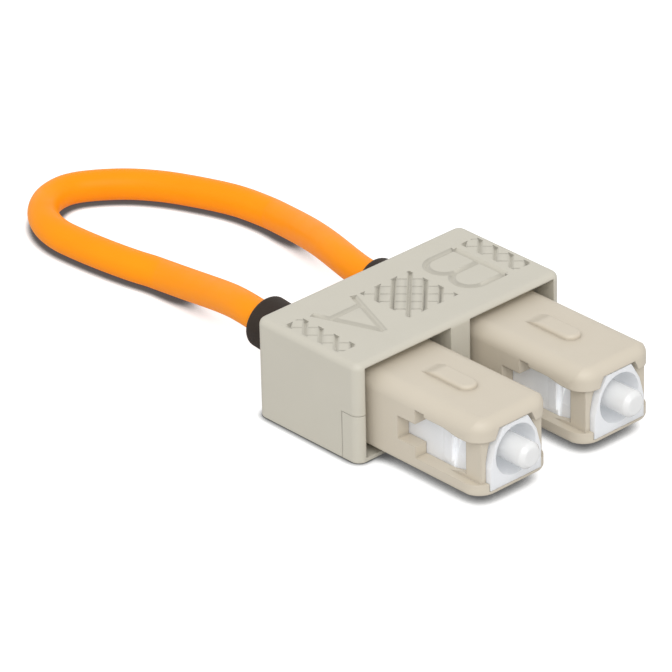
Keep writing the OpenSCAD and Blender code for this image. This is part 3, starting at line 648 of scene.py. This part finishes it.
def boot_rubber_material():
    """Matt black rubber, paler on its edges: dust and a painted rim highlight."""
    material, tree, shader = new_material("boot_rubber")
    skin = group_node(tree, MOULD_SKIN, grain_size=0.18 * MM, drift_size=2 * MM)
    edge = group_node(tree, SOFT_EDGE, radius=0.2 * MM)
    tone = colour_mix(tree, skin["Drift"], RUBBER_DARK, RUBBER_PALE)
    # Paler edges: partly dust, partly a painted rim highlight.
    dust_and_rim_highlight = math_node(tree, "MULTIPLY", edge["Edge"], skin["Smudge"])
    fill_socket(tree, shader["Base Color"], colour_mix(tree, dust_and_rim_highlight, tone, RUBBER_DUST_AND_RIM_HIGHLIGHT))
    fill_socket(tree, shader["Roughness"], map_range(tree, skin["Smudge"], 0.0, 1.0, *RUBBER_ROUGH))
    add_relief(tree, shader, skin["Grain"], strength=0.5, depth=0.03 * MM, normal=edge["Normal"])
    shader["Specular IOR Level"].default_value = RUBBER_SHINE
    return material


boot_rubber = boot_rubber_material()
print("rubber:", boot_rubber.name)

# %% [markdown]
# The parts inside are nickel-plated brass, steel and aluminium. A lathe leaves
# fine rings on them, round the axis of each plug. Noise along that one axis gives
# such rings. Anisotropic gloss could do it too, but the rings would then vanish
# in close views.

# %% Turned metal
def turned_marks_group():
    """Fine rings left by a lathe, for an axis that runs along Y."""
    tree = bpy.data.node_groups.new("turned_marks", "ShaderNodeTree")
    add_sockets(tree, "INPUT", [("Ring Width", "NodeSocketFloat", 0.06 * MM)])
    add_sockets(tree, "OUTPUT", [("Rings", "NodeSocketFloat", None)])
    given = tree.nodes.new("NodeGroupInput").outputs
    place = add_node(tree, "ShaderNodeTexCoord").outputs["Object"]
    parts = add_node(tree, "ShaderNodeSeparateXYZ", {0: place})
    scale = math_node(tree, "DIVIDE", 1.0, given["Ring Width"])
    rings = add_node(tree, "ShaderNodeTexNoise", {
        "W": parts.outputs["Y"], "Scale": scale, "Detail": 3.0,
    }, noise_dimensions="1D")
    add_node(tree, "NodeGroupOutput", {"Rings": rings.outputs["Fac"]})
    return tree


TURNED_MARKS = turned_marks_group()
METAL_DARKER, METAL_LIGHTER = 0.9, 1.08
RING_SMOOTHER, RING_ROUGHER = 0.08, 0.12


def turned_metal(name, colour, rough):
    """Plated metal with lathe marks."""
    material, tree, shader = new_material(name)
    rings = group_node(tree, TURNED_MARKS)["Rings"]
    skin = group_node(tree, MOULD_SKIN, drift_size=1.2 * MM)
    edge = group_node(tree, SOFT_EDGE, radius=0.05 * MM)
    fill_socket(tree, shader["Base Color"], colour_mix(
        tree, skin["Drift"], toned(colour, METAL_DARKER), toned(colour, METAL_LIGHTER),
    ))
    fill_socket(tree, shader["Roughness"], map_range(
        tree, rings, 0.0, 1.0, rough - RING_SMOOTHER, rough + RING_ROUGHER,
    ))
    add_relief(tree, shader, rings, strength=0.25, depth=0.01 * MM, normal=edge["Normal"])
    shader["Metallic"].default_value = 1.0
    return material


flange_nickel = turned_metal("flange_nickel", (0.66, 0.64, 0.58), rough=0.26)
post_nickel = turned_metal("post_nickel", (0.70, 0.68, 0.63), rough=0.30)
crimp_metal = turned_metal("crimp_metal", (0.62, 0.61, 0.60), rough=0.34)
spring_wire = turned_metal("spring_wire", (0.56, 0.56, 0.57), rough=0.28)
print("metals:", flange_nickel.name, post_nickel.name, crimp_metal.name, spring_wire.name)

# %% [markdown]
# ## Cable jacket
#
# The jacket is drawn through a die, which leaves very faint lines along it. The
# surface is satin and takes small scuffs. A faint orange glow is painted in, so
# the orange stays bright in the shade. A striped texture could give the lines,
# but it would repeat. Noise that is stretched along the cable never does, and it
# is placed by the marks that the sweep kept.

# %% Jacket
JACKET_DEEP = (0.96, 0.295, 0.004, 1)
JACKET_BRIGHT = (1.0, 0.340, 0.006, 1)
JACKET_STREAK = (1.0, 0.37, 0.012, 1)
STREAK_SHARE = 0.25
LINE_STRETCH = (160, 2600, 1)
JACKET_ROUGH = (0.34, 0.46)
JACKET_SHINE = 0.12
JACKET_GLOW_COLOUR, JACKET_GLOW_STRENGTH = (1.0, 0.22, 0.0, 1), 0.12


def jacket_material():
    """Orange cable jacket, drawn along its length."""
    material, tree, shader = new_material("cable_jacket")
    place = add_node(tree, "ShaderNodeAttribute", attribute_name="jacket_place")
    stretch = add_node(tree, "ShaderNodeMapping", {
        "Vector": place.outputs["Vector"], "Scale": LINE_STRETCH,
    })
    lines = add_node(tree, "ShaderNodeTexNoise", {
        "Vector": stretch.outputs[0], "Scale": 1.0, "Detail": 3.0,
    }).outputs["Fac"]
    skin = group_node(tree, MOULD_SKIN, grain_size=0.16 * MM, drift_size=5 * MM)
    tone = colour_mix(tree, skin["Drift"], JACKET_DEEP, JACKET_BRIGHT)
    streak = math_node(tree, "MULTIPLY", lines, STREAK_SHARE)
    fill_socket(tree, shader["Base Color"], colour_mix(tree, streak, tone, JACKET_STREAK))
    fill_socket(tree, shader["Roughness"], map_range(
        tree, skin["Smudge"], SMUDGE_LOW, SMUDGE_HIGH, *JACKET_ROUGH,
    ))
    shader["Specular IOR Level"].default_value = JACKET_SHINE
    # Painted glow: the jacket emits a little orange light, so it stays bright in the shade.
    shader["Emission Color"].default_value = JACKET_GLOW_COLOUR
    shader["Emission Strength"].default_value = JACKET_GLOW_STRENGTH
    height = math_node(tree, "ADD", lines, skin["Grain"])
    add_relief(tree, shader, height, strength=0.12, depth=GRAIN_HEIGHT)
    return material


cable_jacket = jacket_material()
print("jacket:", cable_jacket.name)

# %% [markdown]
# Now the route, the sweep and the jacket come together. The cable rides on the
# block and stands in for the imported cord.

# %% Make the cable
cable_line = path_mesh("cable_line", [cable_path])
cable = grow("loop_cable", cable_line, CABLE_SWEEP, Width=CABLE_WIDTH, Material=cable_jacket)
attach(cable, "housing")
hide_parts("fibre_loop")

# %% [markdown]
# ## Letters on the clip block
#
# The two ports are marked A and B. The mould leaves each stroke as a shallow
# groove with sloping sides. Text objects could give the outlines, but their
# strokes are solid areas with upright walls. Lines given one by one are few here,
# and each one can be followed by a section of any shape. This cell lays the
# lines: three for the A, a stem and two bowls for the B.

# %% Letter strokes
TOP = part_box("housing_cover")[1].z
LETTER_HALF = 3.3
A_MIDDLE, A_HALF_WIDTH, A_BAR = -6.2, 2.5, 1.6
B_STEM, B_REACH = 8.7, 4.3
BOWL_STEPS = 16


def bowl(y0, y1):
    """One bowl of the B: out from the stem, round, and back."""
    radius = (y1 - y0) / 2
    middle = (y0 + y1) / 2
    bend = B_REACH + radius
    angles = (math.pi * i / BOWL_STEPS for i in range(BOWL_STEPS + 1))
    arc = [(bend - radius * math.sin(a), middle - radius * math.cos(a)) for a in angles]
    return [(B_STEM, y0)] + arc + [(B_STEM, y1)]


bar_half = A_HALF_WIDTH * (A_BAR + LETTER_HALF) / (2 * LETTER_HALF)
strokes = [
    [(A_MIDDLE, -LETTER_HALF), (A_MIDDLE - A_HALF_WIDTH, LETTER_HALF)],
    [(A_MIDDLE, -LETTER_HALF), (A_MIDDLE + A_HALF_WIDTH, LETTER_HALF)],
    [(A_MIDDLE - bar_half, A_BAR), (A_MIDDLE + bar_half, A_BAR)],
    [(B_STEM, -LETTER_HALF), (B_STEM, LETTER_HALF)],
    bowl(-LETTER_HALF, 0),
    bowl(0, LETTER_HALF),
]
print("letter strokes:", len(strokes))

# %% [markdown]
# A trapezoid swept along each line has the shape of the groove. The sweep turns
# a flat profile over, so the width that the node calls its bottom comes out on
# top. The cutter stands a little out of the skin, and gets wider at the same
# slope up there, so that it cuts through the skin cleanly.

# %% Stroke cutter
STROKE_DEPTH = 0.28
STROKE_TOP, STROKE_FLOOR = 0.70, 0.18
ABOVE = 0.20


def stroke_tree():
    """A tree that sweeps a trapezoid along flat paths, wide side up."""
    tree = bpy.data.node_groups.new("stroke_cutter", "GeometryNodeTree")
    add_sockets(tree, "INPUT", [
        ("Strokes", "NodeSocketGeometry", None),
        ("Wide", "NodeSocketFloat", 1.0),
        ("Narrow", "NodeSocketFloat", 0.5),
        ("Height", "NodeSocketFloat", 0.5),
        ("Material", "NodeSocketMaterial", None),
    ])
    add_sockets(tree, "OUTPUT", [("Cutter", "NodeSocketGeometry", None)])
    given = tree.nodes.new("NodeGroupInput").outputs
    line = add_node(tree, "GeometryNodeMeshToCurve", {"Mesh": given["Strokes"]})
    level = add_node(tree, "GeometryNodeSetCurveNormal", {"Curve": line.outputs[0]}, mode="Z_UP")
    shape = add_node(tree, "GeometryNodeCurvePrimitiveQuadrilateral", {
        "Top Width": given["Narrow"], "Bottom Width": given["Wide"], "Height": given["Height"],
        "Offset": 0.0,
    }, mode="TRAPEZOID")
    swept = add_node(tree, "GeometryNodeCurveToMesh", {
        "Curve": level.outputs[0], "Profile Curve": shape.outputs[0], "Fill Caps": True,
    })
    cutter = solid_with_material(tree, swept.outputs[0], given["Material"])
    add_node(tree, "NodeGroupOutput", {"Cutter": cutter})
    return tree


slope = (STROKE_TOP - STROKE_FLOOR) / STROKE_DEPTH
cutter_width = STROKE_TOP + slope * ABOVE
cutter_middle = TOP + (ABOVE - STROKE_DEPTH) / 2 * MM
stroke_lines = path_mesh("stroke_lines", [
    [(x * MM, y * MM, cutter_middle) for x, y in stroke] for stroke in strokes
])
cutter = grow(
    "letter_cutter", stroke_lines, stroke_tree(), Wide=cutter_width * MM, Narrow=STROKE_FLOOR * MM,
    Height=(STROKE_DEPTH + ABOVE) * MM, Material=block_plastic,
)

# %% [markdown]
# A Boolean modifier cuts all strokes out of the cover at once. A bump map would
# be lighter, but it would throw no shadow in a groove this deep. The packed
# cover is a heap of loose triangles, and a Boolean needs a closed solid, so a
# copy is welded first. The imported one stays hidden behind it.
#
# The cut leaves many thin triangles, which shade badly. Faces that lie flat
# together are merged, corners over 25 degrees stay sharp, and the large faces
# lead the shading of what is left.

# %% Cut the letters
WELD_DISTANCE = 0.0005 * MM
FLAT_ANGLE = math.radians(0.4)
SHARP_ANGLE = math.radians(25)
LARGE_FACES_LEAD = 90


def welded_copy(node, name):
    """A closed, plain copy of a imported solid."""
    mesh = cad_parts[node].data.copy()
    mesh.name = name
    builder = bmesh.new()
    builder.from_mesh(mesh)
    bmesh.ops.remove_doubles(builder, verts=builder.verts, dist=WELD_DISTANCE)
    builder.to_mesh(mesh)
    builder.free()
    return add_to_scene(name, mesh)


def settle(piece):
    """Turns a piece's modifiers into plain mesh."""
    result = plain_mesh(piece)
    piece.modifiers.clear()
    piece.data = result


cover = welded_copy("housing_cover", "lettered_cover")
cut = cover.modifiers.new("letters", "BOOLEAN")
cut.operation = "DIFFERENCE"
cut.solver = "EXACT"
cut.use_self = True
cut.object = cutter
merge = cover.modifiers.new("flat_faces", "DECIMATE")
merge.decimate_type = "DISSOLVE"
merge.angle_limit = FLAT_ANGLE
settle(cover)
bpy.data.objects.remove(cutter)

cover.data.shade_smooth()
cover.data.set_sharp_from_angle(angle=SHARP_ANGLE)
shading = cover.modifiers.new("shading", "WEIGHTED_NORMAL")
shading.keep_sharp = True
shading.weight = LARGE_FACES_LEAD
settle(cover)

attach(cover, "housing")
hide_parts("housing_cover")
print("lettered cover:", len(cover.data.polygons), "faces")

# %% [markdown]
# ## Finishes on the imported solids
#
# The other solids already have their right shape, so none of them is drawn
# again. Each one arrives in a plain material that is named after its slot. The
# list below says which finish takes its place.

# %% Dress the solids
FINISHES = {
    "block_grey": block_plastic, "shell_beige": shell_plastic, "frame_white": frame_plastic,
    "ceramic_white": ferrule_ceramic, "flange_metal": flange_nickel,
    "spring_steel": spring_wire, "post_metal": post_nickel, "crimp_metal": crimp_metal,
    "boot_black": boot_rubber, "cable_orange": cable_jacket,
}


def dress(piece):
    """Swaps each plain material for the finish of its slot."""
    for place in piece.material_slots:
        finish = place.material and FINISHES.get(place.material.name.split(".")[0])
        if finish:
            place.material = finish


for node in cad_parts.values():
    dress(node)
dress(cover)
print("finishes:", ", ".join(m.name for m in FINISHES.values()))

# %% [markdown]
# ## Stage and light
#
# The object lies on a white table and throws only soft shadows, close to its
# feet. A shadow catcher could hold them, but it would throw no light back onto
# the object and would not show in its gloss. A real floor does both. To the
# camera, this one glows nearly white, and a painted contact shadow darkens it
# where the Ambient Occlusion node finds something close above. Two distances are
# used: the near one paints the shadow along the line of contact, the far one
# paints shade in the low space under the shells and the cable. For all other rays
# the floor is a plain light grey, so that it doesn't flood the plastic.

# %% Table
TABLE_HALF = 2.0
NEAR_SHADE, FAR_SHADE = 1.0 * MM, 3.0 * MM
NEAR_DARK, NEAR_OPEN = 0.47, 0.92
FAR_DARK, FAR_OPEN = 0.22, 0.52
SHADED_FLOOR, OPEN_FLOOR = (0.05, 0.05, 0.05, 1), (0.45, 0.45, 0.45, 1)
SHADED_GLOW, OPEN_GLOW = 0.07, 0.80
FLOOR_FOR_LIGHT = (0.72, 0.72, 0.72, 1)


def closeness(tree, distance, dark, open_level):
    """Mask for the painted contact shadow: 0 where something stands close above the floor, 1 where it is
    open.
    """
    shade = add_node(tree, "ShaderNodeAmbientOcclusion", {"Distance": distance}, samples=16)
    return map_range(tree, shade.outputs["AO"], dark, open_level)


def table_material():
    """A white table with a painted contact shadow for the camera."""
    material, tree, shader = new_material("table_white")
    seen = add_node(tree, "ShaderNodeLightPath").outputs["Is Camera Ray"]
    near = closeness(tree, NEAR_SHADE, NEAR_DARK, NEAR_OPEN)
    far = closeness(tree, FAR_SHADE, FAR_DARK, FAR_OPEN)
    free_of_painted_shadow = math_node(tree, "MINIMUM", near, far)
    # Painted contact shadow: where the mask is low, the floor seen by the camera is darkened.
    shown = colour_mix(tree, free_of_painted_shadow, SHADED_FLOOR, OPEN_FLOOR)
    fill_socket(tree, shader["Base Color"], colour_mix(tree, seen, FLOOR_FOR_LIGHT, shown))
    glow = map_range(tree, free_of_painted_shadow, 0.0, 1.0, SHADED_GLOW, OPEN_GLOW)
    fill_socket(tree, shader["Emission Strength"], math_node(tree, "MULTIPLY", glow, seen))
    shader["Emission Color"].default_value = (1, 1, 1, 1)
    shader["Roughness"].default_value = 1.0
    shader["Specular IOR Level"].default_value = 0.0
    return material


table_mesh = bpy.data.meshes.new("table")
builder = bmesh.new()
bmesh.ops.create_grid(builder, x_segments=1, y_segments=1, size=TABLE_HALF)
builder.to_mesh(table_mesh)
builder.free()
table_mesh.materials.append(table_material())
table = add_to_scene("table", table_mesh)
print("table:", 2 * TABLE_HALF, "m square")

# %% [markdown]
# Small parts are often lit in a white tent, so light comes softly from all
# round. Many large lamps could stand for the tent. A plain white sky is simpler:
# a little dimmer as a lamp, and full white where it is seen or mirrored. One
# large lamp above and to the left gives the tops their slight lift.

# %% Light
DOME_LIGHT, DOME_SHOWN = 0.70, 1.0
WHITE = (1, 1, 1, 1)
KEY_PLACE = (-0.34, -0.42, 0.56)
KEY_SIZE, KEY_POWER = 0.55, 2.95


def light_tent(name):
    """A white sky, dimmer as a lamp than it looks."""
    world = bpy.data.worlds.new(name)
    world.use_nodes = True
    tree = world.node_tree
    tree.nodes.clear()
    rays = add_node(tree, "ShaderNodeLightPath").outputs
    looked_at = math_node(tree, "MAXIMUM", rays["Is Camera Ray"], rays["Is Glossy Ray"])
    looked_at = math_node(tree, "MAXIMUM", looked_at, rays["Is Transmission Ray"])
    lamp = add_node(tree, "ShaderNodeBackground", {"Color": WHITE, "Strength": DOME_LIGHT})
    shown = add_node(tree, "ShaderNodeBackground", {"Color": WHITE, "Strength": DOME_SHOWN})
    blend = add_node(tree, "ShaderNodeMixShader", {
        0: looked_at, 1: lamp.outputs[0], 2: shown.outputs[0],
    })
    add_node(tree, "ShaderNodeOutputWorld", {"Surface": blend.outputs[0]})
    return world


def soft_lamp(name, place, size, power):
    """A square soft box that points at the middle of the object."""
    data = bpy.data.lights.new(name, "AREA")
    data.shape = "SQUARE"
    data.size = size
    data.energy = power
    lamp = add_to_scene(name, data)
    away = Vector(place) - AIM_POINT
    turn = away.to_track_quat("Z", "Y").to_matrix().to_4x4()
    lamp.matrix_world = Matrix.Translation(Vector(place)) @ turn


bpy.context.scene.world = light_tent("studio")
soft_lamp("key_lamp", KEY_PLACE, KEY_SIZE, KEY_POWER)
